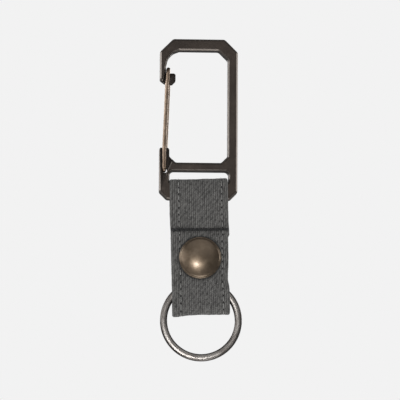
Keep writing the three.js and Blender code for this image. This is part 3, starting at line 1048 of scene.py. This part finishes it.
def relief(s, x, z, outside, part):
    """How far a ply's face stands out at a place on the strip."""
    row = past_row(x)
    sewn = (s > FIRST_STITCH) & (s < tab_row)
    hole = dent(from_hole(s), 0.45)
    pressed = -ROW_DEPTH * dent(row, ROW_WIDTH) * (0.5 + 0.9 * hole) * sewn
    hem = 0.06 * eased((row - 0.1) / 0.7) - 0.05 * eased(-row / 2.5) ** 2
    waves = 0.045 * np.sin(1.1 * x + 0.35 * z + 0.6) * np.sin(0.43 * z + 0.2 * x)
    waves += 0.03 * np.sin(0.9 * z - 1.7 * x) * np.sin(2.1 * x + 1.1)
    made = pressed + hem + waves
    if part == "upper":
        in_front = np.abs(s - starts["fold"]) < FRONT_PLY
        made -= SEAM_DEPTH * dent(z - SEAM_HEIGHT, 0.7) * in_front
        distance = np.hypot(x, z - SNAP_HEIGHT)
        made -= SNAP_DEPTH * eased((9.2 - distance) / 1.6) * outside * (z < SEAM_HEIGHT)
    if part == "tab":
        made -= ROW_DEPTH * dent(s - tab_row, ROW_WIDTH)
    return made


# %% [markdown]
# The section has about 160 points: close together at the stitch rows and at the folded edges,
# where the cloth turns over, and a little wider between. The free ends are eased shut over half a
# millimetre. The tab's end is also cut with round corners, which the section makes by narrowing.

# %% Sweep the cloth
face_columns = np.unique(
    np.round(
        np.concatenate(
            [
                np.linspace(-STRAP_WIDTH / 2 + EDGE_RADIUS, STRAP_WIDTH / 2 - EDGE_RADIUS, 56),
                *[row + np.linspace(-0.7, 0.7, 9) for row in (ROW_LEFT, ROW_RIGHT)],
            ]
        ),
        3,
    )
)
edge_angles = np.radians(np.linspace(90, -90, 9))[1:-1]
END_EASE = 0.55


def cloth_section():
    """Across, off and the face's sign for each point round the section."""
    half = STRAP_WIDTH / 2 - EDGE_RADIUS
    off = PLY / 2
    outer = [(x, off, x, 1) for x in face_columns]
    right = []
    for a in edge_angles:
        run = half + EDGE_RADIUS * abs(math.pi / 2 - abs(a))
        right.append((half + EDGE_RADIUS * math.cos(a), off * math.sin(a), run, 0))
    inner = [(x, -off, x, -1) for x in face_columns[::-1]]
    left = [(-x, y, -c, f) for x, y, c, f in right[::-1]]
    return np.array(outer + right + inner + left, float)


def cloth_piece(name, part, open_start=False, open_end=False, corner=0.0):
    line = lines[part]
    s = starts[part] + run_length(line)
    section = cloth_section()
    stations = len(line)
    grid = (stations, len(section))
    x, off, lay_x, face = (np.broadcast_to(column, grid).copy() for column in section.T)
    depth_in = np.full(stations, 10.0)
    if open_start:
        depth_in = np.minimum(depth_in, s - s[0])
    if open_end:
        depth_in = np.minimum(depth_in, s[-1] - s)
    open_share = np.clip(depth_in / END_EASE, 0.02, 1)
    squeeze = np.sqrt(np.clip(1 - (1 - open_share) ** 2, 0.02, 1))
    if corner:
        to_end = np.clip((corner - (s[-1] - s)) / corner, 0, 1)
        narrower = corner * (1 - np.sqrt(1 - np.minimum(to_end, 0.995) ** 2))
        x *= (1 - narrower / (STRAP_WIDTH / 2))[:, None]
    ahead = headings(line)
    normal = np.stack([ahead[:, 1], -ahead[:, 0]], axis=1)
    z_line = np.broadcast_to(line[:, 1][:, None], x.shape)
    s_grid = np.broadcast_to(s[:, None], x.shape)
    pressed = relief(s_grid, x, z_line, face > 0, part)
    off = (off + face * pressed) * squeeze[:, None]
    points = np.stack(
        [
            x,
            line[:, 0][:, None] + normal[:, 0][:, None] * off,
            line[:, 1][:, None] + normal[:, 1][:, None] * off,
        ],
        axis=2,
    ).reshape(-1, 3)
    lay = np.stack([s_grid, lay_x, face], axis=2).reshape(-1, 3)
    columns = len(section)
    faces = grid_faces(stations, columns)
    faces.append(tuple(range(columns)))
    faces.append(tuple(reversed(range((stations - 1) * columns, stations * columns))))
    piece = outward(mesh_piece(name, hang(points), faces, lay, sharp=50))
    print(name, len(points), "points,", round(s[-1] - s[0], 1), "mm long")
    return piece


strap_upper = cloth_piece("strap_upper", "upper", open_start=True)
strap_fold = cloth_piece("strap_fold", "fold")
strap_tab = cloth_piece("strap_tab", "tab", open_end=True, corner=3.0)

# %% [markdown]
# ### Canvas weave
#
# Canvas is a plain weave: each thread goes over one and under the next. The shader finds which
# cell of the weave a place lies in. On even cells the long thread is on top and on odd ones the
# cross thread is, and each thread is round across its own width. The long threads are thicker,
# which gives the ribs that run down the strap. A slow noise shifts the threads, since none lies
# quite straight. The heights of these threads are a formula, used for the bump and, as painted
# shade and highlight, for the colour: low places between threads go nearly black.

# %% Weave of the canvas
RIB_PITCH = 0.67
WEFT_PITCH = 0.5

canvas = Finish("grey_canvas")
along, aside, face = canvas.lay()
drift = canvas.noise(canvas.place(along * 0.5, aside * 0.9, face), 1, 2, 0.5) - 0.5
drift_more = canvas.noise(canvas.place(along * 1.1, aside * 0.6, face + 7), 1, 2, 0.5) - 0.5
u = aside / RIB_PITCH + drift * 0.5
v = along / WEFT_PITCH + drift_more * 0.9
cell = ((u.floor() + v.floor()) * 0.5).part() * 2
u_in = 2 * u.part() - 1
v_in = 2 * v.part() - 1
long_round = 1 - u_in * u_in
cross_round = 1 - v_in * v_in
long_height = long_round * (0.65 + 0.35 * cross_round)
cross_height = cross_round * (0.5 + 0.35 * long_round)
weave = long_height * (1 - cell) + cross_height * cell
rib = 1 - (2 * (u + 0.25).part() - 1) ** 4.0
twill = 1 - (2 * ((aside + along * 0.9) / 1.9).part() - 1) ** 2.0

# %% [markdown]
# Each rib takes the dye a little differently, thick places and fuzz break it up, and a faint slant
# runs over the whole. Shade is painted into the cloth's colour: in the needle holes and stitch
# grooves, round the snap's rim, along the crest over the bar, and under the cross seam. The
# folded edges are rubbed paler. Where these marks lie is told in lengths along the strip, so they
# bend with it.

# %% Dye, wear and shadow of the canvas
yarn = canvas.noise(canvas.place(along * 1.5, aside * 9.0, face), 1, 3, 0.6)
slubs = canvas.noise(canvas.place(along * 6.0, aside * 1.4, face + 3), 1, 2, 0.6)
fuzz = canvas.noise(canvas.place(along, aside, face), 9.0, 3, 0.7)
patches = canvas.noise(canvas.place(along * 0.22, aside * 0.3, face), 1, 3, 0.55)
dyed = canvas.noise(canvas.place(u.floor() * 3.7, along * 0.5, face), 1, 2, 0.6)
ragged = canvas.noise(canvas.place(along * 0.4, aside * 1.6, 2.0), 1, 2, 0.5)

threads = 0.25 + 0.4 * yarn + 0.3 * slubs + 0.4 * dyed.between(0.3, 0.7)
# Painted shade and highlight: the weave and rib heights set how dark the cloth is, near black
# between threads.
light = (0.05 + 0.35 * weave + 0.6 * rib) * threads
light = light * (0.86 + 0.28 * twill) + 0.25 * (fuzz - 0.5)
shade = canvas.mix(light.between(0.15, 0.95), colour(6, 6, 6), colour(92, 91, 89))
shade = canvas.mix(patches.between(0.35, 0.75) * 0.3, shade, colour(56, 55, 54))
rubbed = abs(aside).between(10.0, 11.0)
shade = canvas.mix(rubbed * 0.35 * fuzz, shade, colour(88, 87, 85))

upper_runs = run_length(lines["upper"])
crest_run = float(upper_runs[np.argmax(lines["upper"][:, 1])])
snap_run = starts["fold"] - (SNAP_HEIGHT - FRONT_CUT)
seam_run = starts["fold"] - (SEAM_HEIGHT - FRONT_CUT)
row = abs(aside - ROW_LEFT).least(abs(aside - ROW_RIGHT))
step_in = abs((along / EDGE_PITCH + 0.5).part() - 0.5) * EDGE_PITCH
# Painted shade in the needle holes and along the stitch grooves.
hole = row.between(0.42, 0.12) * step_in.between(0.55, 0.2)
groove = row.between(0.6, 0.1)
# Painted shadow round the snap's rim, along the crest over the bar and under the cross seam.
from_snap = ((along - snap_run) ** 2.0 + aside * aside) ** 0.5
shadow = from_snap.between(8.6, 7.7) * face.between(0.0, 0.5) * 0.55
shadow = shadow.most(abs(along - crest_run).between(2.6, 1.0) * 0.55)
shadow = shadow.most(abs(along - seam_run).between(0.8, 0.3) * ragged.between(0.3, 0.5) * 0.9)
shade = canvas.mix((groove * 0.25).most(hole * 0.9).most(shadow), shade, colour(14, 14, 14))
height = weave + 0.5 * rib + 0.35 * fuzz + 0.25 * yarn - hole * 1.2
canvas_material = canvas.done(
    {
        "Base Color": shade,
        "Roughness": 0.86 + 0.1 * (fuzz - 0.5),
        "Normal": canvas.bump(height, 0.16),
        "Specular IOR Level": 0.25,
        "Sheen Weight": 0.12,
        "Sheen Roughness": 0.5,
    }
)
for piece in (strap_upper, strap_fold, strap_tab):
    piece.data.materials.append(canvas_material)

# %% [markdown]
# Each piece of cloth, and later each row of edge stitches, has its placement baked into its own
# points.

# %% Bake the cloth's placement
UPPER_BEND = (-55.5, -64.0)
FOLD_BEND = (-86.0, -88.6)
TAB_BEND = (-87.0, -84.5)


def bend(piece, body_a, body_b, heights):
    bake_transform(piece)


bend(strap_upper, "carabiner", "strap", UPPER_BEND)
bend(strap_fold, "strap", "pocket", FOLD_BEND)
bend(strap_tab, "strap", "tab", TAB_BEND)
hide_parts("strap_top_loop", "strap_flex_band", "strap_front_leg")
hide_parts("strap_bottom_fold")
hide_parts("strap_snap_tab")

# %% [markdown]
# ## Stitches
#
# Each stitch is its own short piece of thread: out of one needle hole, over the cloth and into the
# next. A texture could draw them, but the thread stands up and catches light, so they are tubes.
# The edge rows are a grey thread in long stitches, left out under the snap's cap. The cross seam is
# black, tight and uneven, with doubled stitches at its left end where the machine went back.


# %% Thread along a strip
def strip_point(part, s, x, lift):
    """A point at a height over the outer face of a strip, in the strap's millimetres."""
    line = lines[part]
    lengths = starts[part] + run_length(line)
    columns = (*line.T, *headings(line).T)
    y, z, ay, az = (np.interp(s, lengths, column) for column in columns)
    face = PLY / 2 + relief(np.asarray(s), np.asarray(x), z, True, part)
    off = face + lift
    placed = np.stack([np.broadcast_to(x, np.shape(s)), y + az * off, z - ay * off], axis=-1)
    normal = np.stack([np.zeros(np.shape(s)), az, -ay], axis=-1)
    return hang(placed), normal


# %% Many short threads as one object
THREAD_SIDES = 8


def thread_bundle(name, stitches, radius):
    """One object from many short threads, given as (points, normals)."""
    points, faces, lay = [], [], []
    for line, ups in stitches:
        count = len(line)
        ease = np.sin(np.linspace(0.25, math.pi - 0.25, count)) ** 0.35
        sections = ellipse(2 * radius, 1.7 * radius, THREAD_SIDES)[None] * ease[:, None, None]
        made, more = sweep(line, ups, sections, len(points))
        number = np.full(THREAD_SIDES, float(len(points) % 97))
        turns = np.arange(THREAD_SIDES) / THREAD_SIDES
        lay.append(sweep_lay(run_length(line), turns, number))
        points += [tuple(p) for p in made]
        faces += more
    piece = outward(mesh_piece(name, points, faces, np.concatenate(lay), sharp=60))
    print(name, len(stitches), "stitches")
    return piece


# %% The edge rows
STITCH_POINTS = 11
HOLE_GAP = 0.2
EDGE_SINK = 0.18
EDGE_THREAD = 0.15
EDGE_SWAY = 0.05
CAP_REACH = 7.9


def climb(power):
    """How a thread comes out of its hole and goes back into the next, from 0 over 1 to 0."""
    return np.sin(np.linspace(0, math.pi, STITCH_POINTS)) ** power


def edge_stitch(part, s, x):
    """A thread of the edge rows, through places along and across the strip."""
    lift = -EDGE_SINK + (HOLE_GAP + EDGE_THREAD) * climb(0.6)
    return strip_point(part, s, x, lift)


def between_holes(start, pitch):
    return np.linspace(start + HOLE_GAP, start + pitch - HOLE_GAP, STITCH_POINTS)


def clear_of_cap(points):
    """Whether no point of a stitch lies behind the snap's cap."""
    away = np.hypot(points[:, 0], points[:, 2] - SNAP_HEIGHT)
    return bool(np.all(away > CAP_REACH))


def edge_row(part, x, first, last):
    """Stitches from hole to hole along an edge row."""
    stitches = []
    for hole in range(math.ceil(first / EDGE_PITCH), math.floor(last / EDGE_PITCH)):
        sway = EDGE_SWAY * math.sin(7.3 * hole + x) * climb(0.6)
        thread = edge_stitch(part, between_holes(hole * EDGE_PITCH, EDGE_PITCH), x + sway)
        if part != "upper" or clear_of_cap(thread[0]):
            stitches.append(thread)
    return stitches


spans = {
    "upper": (3.0, starts["fold"]),
    "fold": (starts["fold"], starts["tab"]),
    "tab": (starts["tab"], starts["tab"] + 16.0),
}
rows = {}
for part, (first, last) in spans.items():
    rows[part] = edge_row(part, ROW_LEFT, first, last) + edge_row(part, ROW_RIGHT, first, last)

TAB_STITCHES = 6
tab_pitch = (ROW_RIGHT - ROW_LEFT) / TAB_STITCHES
for i in range(TAB_STITCHES):
    across_tab = between_holes(ROW_LEFT + i * tab_pitch, tab_pitch)
    rows["tab"].append(edge_stitch("tab", np.full(STITCH_POINTS, tab_row), across_tab))

upper_stitches = thread_bundle("edge_stitching_upper", rows["upper"], EDGE_THREAD)
fold_stitches = thread_bundle("edge_stitching_fold", rows["fold"], EDGE_THREAD)
tab_stitches = thread_bundle("edge_stitching_tab", rows["tab"], EDGE_THREAD)

# %% The cross seam
SEAM_PITCH = 1.45
SEAM_THREAD = 0.42
SEAM_REACH = STRAP_WIDTH / 2 - 0.35
SEAM_SINK = 0.2
FRONT_LIFT = 0.62
BACK_LIFT = 0.42
DOUBLED = 6
DOUBLED_PITCH = 0.85
DOUBLED_LENGTH = 1.25


def seam_stitch(start_x, end_x, s, tilt, lift):
    x = np.linspace(start_x, end_x, STITCH_POINTS)
    slant = tilt * np.linspace(-0.5, 0.5, STITCH_POINTS)
    return strip_point("upper", s + slant, x, -SEAM_SINK + lift * climb(0.5))


front = upper_runs > starts["fold"] - FRONT_PLY
nearest = np.argmin(np.abs(lines["upper"][front, 1] - SEAM_HEIGHT))
front_seam = float(upper_runs[front][nearest])
back_seam = SEAM_HEIGHT - upper_line[0][1]
seam = []
count = int(2 * SEAM_REACH / SEAM_PITCH)
for i in range(count):
    left = -SEAM_REACH + i * 2 * SEAM_REACH / count
    right = left + 2 * SEAM_REACH / count
    wobble = 0.1 * math.sin(1.9 * i) + 0.06 * math.sin(4.3 * i + 1)
    tilt = 0.16 * math.sin(2.7 * i + 0.4)
    seam.append(seam_stitch(left + 0.05, right - 0.1, front_seam + wobble, tilt, FRONT_LIFT))
    seam.append(seam_stitch(left + 0.1, right - 0.1, back_seam + wobble, tilt, BACK_LIFT))
for i in range(DOUBLED):
    left = -SEAM_REACH + (i + 0.3) * DOUBLED_PITCH
    s = front_seam + 0.3 * (-1) ** i
    seam.append(seam_stitch(left, left + DOUBLED_LENGTH, s, 0.12, FRONT_LIFT))
seam_threads = thread_bundle("cross_seam_thread", seam, SEAM_THREAD)

# %% [markdown]
# ### Thread
#
# Sewing thread is three fine yarns twisted together, so a slanting line runs round every stitch.
# The stored lay gives the run and the turn, and their sum makes the slant.


# %% Thread finishes
def thread_finish(name, dark, light, twist_pitch):
    thread = Finish(name)
    run, turn, number = thread.lay()
    twist = ((run / twist_pitch + turn * 3).part() * 2 - 1) ** 2.0
    fuzz = thread.noise(thread.place(run * 9, turn * 5, number), 1, 3, 0.7)
    tone = thread.noise(thread.place(number, run * 0.3, 0.5), 1.7, 1, 0.5)
    shade = thread.mix((1 - twist) * (0.5 + 0.5 * fuzz), colour(*dark), colour(*light))
    shade = thread.mix(tone.between(0.4, 0.7) * 0.35, shade, colour(*dark))
    return thread.done(
        {
            "Base Color": shade,
            "Roughness": 0.72 + 0.2 * (fuzz - 0.5),
            "Normal": thread.bump(1 - twist + 0.4 * fuzz, 0.05),
            "Sheen Weight": 0.1,
        }
    )


grey_thread = thread_finish("grey_thread", (60, 59, 58), (150, 149, 146), 0.5)
black_thread = thread_finish("black_thread", (1, 1, 1), (12, 12, 12), 0.5)
stitched = (
    (upper_stitches, grey_thread, "grey_thread"),
    (fold_stitches, grey_thread, "grey_thread"),
    (tab_stitches, grey_thread, "grey_thread"),
    (seam_threads, black_thread, "black_thread"),
)
for piece, material, slot in stitched:
    piece.data.materials.append(material)
bend(upper_stitches, "carabiner", "strap", UPPER_BEND)
bend(fold_stitches, "strap", "pocket", FOLD_BEND)
bend(tab_stitches, "strap", "tab", TAB_BEND)
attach(seam_threads, "strap")


def both_sides(*parts):
    return [f"{part}_stitching_{side}" for part in parts for side in ("left", "right")]


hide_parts(*both_sides("loop", "leg"))
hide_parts(*both_sides("fold"))
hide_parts("tab_end_stitching", *both_sides("tab"))
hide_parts("cross_seam_stitching", "seam_back_stitching")

# %% [markdown]
# ## The press snap
#
# The snap has two halves. In front, a domed cap with a rolled rim covers a post, which passes the
# canvas and is spread in the socket behind it. The back ply carries the stud and the eyelet that
# holds it. All of them are pressed from sheet on round tools, so each is a turned profile, drawn
# with real sheet thickness and eased corners.

# %% Snap profiles
RIM_BACK = -2.9
CROWN = -5.4
SHEET = 0.45
DOME_STEPS = 14


def dome(radius, centre_depth, edge_depth, fullness=2.0):
    """A low dome's profile, from its crown outwards."""
    made = []
    for share in np.linspace(0, 1, DOME_STEPS + 1):
        drop = (centre_depth - edge_depth) * (1 - share**fullness)
        made.append((radius * share, edge_depth + drop))
    return made


cap_profile = [
    *dome(7.0, CROWN, -4.1, fullness=2.2),
    (7.14, -3.98),
    (7.2, -3.84),
    (7.22, -3.74),
    (7.3, -3.69),
    *arc((7.3, -3.29), 0.4, 285, 450, 9),
    (6.4, RIM_BACK),
    (6.4, RIM_BACK - 0.2),
    (7.1, RIM_BACK - 0.2),
    (7.15, -3.45),
    (6.9, -3.7),
    *dome(6.7, CROWN + SHEET, -3.8)[::-1],
]
cap_profile[-1] = (0.0, CROWN + SHEET)
cap = turned("cap_shell", cap_profile, sharp=40)

post_profile = [
    (0, -3.95),
    (5.7, -3.95),
    (5.9, -3.85),
    (5.9, -3.6),
    (5.7, -3.5),
    (1.9, -3.5),
    (1.8, -3.4),
    (1.8, -1.2),
    (1.65, -1.05),
    (1.2, -1.05),
    (1.2, -3.6),
    (0, -3.6),
]
post = turned("cap_post", post_profile)

socket_profile = [
    (1.95, -1.55),
    *arc((5.85, -1.2), 0.35, 270, 360, 4),
    *arc((5.6, -0.2), 0.6, 0, 90, 6),
    (4.6, 0.36),
    (3.2, 0.4),
    (3.05, 0.3),
    (3.05, 0.05),
    (4.1, 0.05),
    (4.1, -0.65),
    (3.05, -0.65),
    (3.05, -1.15),
    (1.95, -1.15),
]
socket = turned("snap_socket_cup", socket_profile)

stud_profile = [
    (1.85, 1.55),
    (5.4, 1.55),
    (5.6, 1.45),
    (5.6, 1.25),
    (5.4, 1.15),
    (3.2, 0.93),
    (2.55, 0.85),
    (2.4, 0.7),
    (2.4, 0.35),
    *arc((2.3, -0.05), 0.45, 40, -60, 6),
    (2.2, -0.6),
    (2.0, -0.65),
    (1.85, -0.6),
]
stud = turned("snap_stud_half", stud_profile)

eyelet_profile = [
    (1.05, -0.1),
    (1.05, 2.85),
    *arc((1.75, 2.85), 0.7, 180, 90, 6),
    (3.0, 3.6),
    (3.9, 3.6),
    *arc((4.35, 2.98), 0.62, 90, 0, 6),
    (4.9, 2.85),
    (1.6, 2.85),
    (1.6, -0.1),
]
eyelet = turned("snap_eyelet_rivet", eyelet_profile)

SPRING_RADIUS = 3.45
SPRING_DEPTH = -0.3
SPRING_WIRE = 0.44
SPRING_SIDES = 12
SPRING_STATIONS = 49
spring_ring = np.array(arc((0, SNAP_HEIGHT), SPRING_RADIUS, 25, 335, SPRING_STATIONS - 1))
spring_line = np.insert(spring_ring, 1, SPRING_DEPTH, axis=1)
spring_section = ellipse(SPRING_WIRE, SPRING_WIRE, SPRING_SIDES)
spring_points, spring_faces = sweep(spring_line, (0, 1, 0), spring_section)
spring_lay = sweep_lay(run_length(spring_line), np.arange(SPRING_SIDES) / SPRING_SIDES)
spring = outward(mesh_piece("snap_spring_wire", spring_points, spring_faces, spring_lay))

# %% Snap finishes
cap_bronze = bronze_finish(
    "cap_bronze", (5.0, 0.05, 0.2), (96, 83, 69), (116, 102, 86), 0.32, 0.01
)
back_bronze = bronze_finish(
    "pressed_bronze", (1.2, 0.3, 1.2), (100, 84, 70), (124, 106, 90), 0.36, 0.012
)

steel = Finish("spring_steel")
run, turn, off = steel.lay()
drawn = steel.noise(steel.place(run * 0.4, turn * 6, off * 4), 1, 3, 0.6)
dull = steel.noise(steel.node("ShaderNodeTexCoord", output="Object"), 900, 3, 0.6)
shade = steel.mix(dull.between(0.35, 0.7), colour(132, 130, 126), colour(158, 156, 152))
steel_material = steel.done(
    {
        "Base Color": shade,
        "Metallic": 1.0,
        "Roughness": 0.34 + 0.16 * (drawn - 0.5),
        "Normal": steel.bump(drawn, 0.01),
    }
)
snap_pieces = (
    (cap, cap_bronze, "strap", "snap_cap", "antique_bronze"),
    (post, steel_material, "strap", "snap_cap_post", "spring_steel"),
    (socket, back_bronze, "strap", "snap_socket", "antique_bronze"),
    (spring, steel_material, "strap", "snap_socket_spring", "spring_steel"),
    (stud, back_bronze, "tab", "snap_stud", "antique_bronze"),
    (eyelet, back_bronze, "tab", "snap_eyelet", "antique_bronze"),
)
for piece, material, body, node, slot in snap_pieces:
    piece.data.materials.append(material)
    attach(piece, body)
    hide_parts(node)

# %% [markdown]
# ## The key ring
#
# A split ring is a flat steel strip wound through two turns that lie side by side, with a short
# step where the strip crosses from one to the other. Its faces are tumbled so round that a bright
# line runs along the middle of the band and both its edges go dark, and its edges are painted
# darker still as shade. The strip is swept along the coil with an oval section; the step hides in
# the canvas at rest.

# %% Wind the ring
RING_OUTER = 15.0
RING_BAND = 2.6
RING_STRIP = 1.15
RING_PITCH = 1.25
RING_STEP = math.radians(32)
RING_GAP = math.radians(4)
RING_SIDES = 28
RING_STATIONS = 420

one_turn = 2 * math.pi - RING_GAP
angles = np.linspace(0, 2 * one_turn - RING_STEP, RING_STATIONS)
cross = eased((angles - (one_turn - RING_STEP)) / RING_STEP)
middle = RING_OUTER - RING_BAND / 2
turn_angle = math.pi / 2 + RING_STEP / 2 + angles
ring_line = np.stack(
    [
        ring_axis.x + middle * np.cos(turn_angle),
        RING_PITCH * (cross - 0.5),
        RING_HEIGHT + middle * np.sin(turn_angle),
    ],
    axis=1,
)
ring_section = ellipse(RING_BAND, RING_STRIP, RING_SIDES, 2.1)
ring_points, ring_faces = sweep(ring_line, (0, 1, 0), ring_section)
ring_lay = sweep_lay(middle * angles, ring_section[:, 0], ring_section[:, 1])
ring = outward(mesh_piece("key_ring", ring_points, ring_faces, ring_lay))
print("ring strip:", round(float(middle * angles[-1]), 1), "mm")

# %% [markdown]
# ### Brushed nickel
#
# The ring is nickel over steel, brushed along its length and dulled by keys. Long streaks follow
# the strip; their height goes into the bump and, a little, into the roughness, and small nicks
# break them. The strip's two edges are painted dark, as shade where its round section turns away.

# %% Nickel
nickel = Finish("brushed_nickel")
along, wide, deep = nickel.lay()
streaks = nickel.noise(nickel.place(along * 0.35, wide * 9, deep * 9), 1, 4, 0.65)
long_streaks = nickel.noise(nickel.place(along * 0.06, wide * 4, deep * 4 + 5), 1, 2, 0.5)
cloudy = nickel.noise(nickel.place(along * 0.25, wide * 0.5, deep), 1, 3, 0.6)
nicks = nickel.noise(nickel.place(along * 2.2, wide * 3.0, deep * 3), 1, 2, 0.6).between(0.68, 0.76)
shade = nickel.mix(cloudy.between(0.3, 0.7), colour(118, 113, 109), colour(142, 138, 134))
shade = nickel.mix(nicks * 0.5, shade, colour(80, 76, 72))
shade = nickel.mix(streaks.between(0.35, 0.2) * 0.4, shade, colour(92, 88, 84))
# Painted shade: the strip's two edges darkened in the colour.
shade = nickel.mix(abs(wide).between(0.72, 1.15) * 0.85, shade, colour(48, 44, 42))
nickel_material = nickel.done(
    {
        "Base Color": shade,
        "Metallic": 1.0,
        "Roughness": 0.3 + 0.2 * (streaks - 0.5) + 0.12 * (cloudy - 0.5) + 0.12 * nicks,
        "Normal": nickel.bump(streaks + 0.6 * long_streaks - 0.5 * nicks, 0.02),
    }
)
ring.data.materials.append(nickel_material)
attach(ring, "ring")
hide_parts("split_ring")
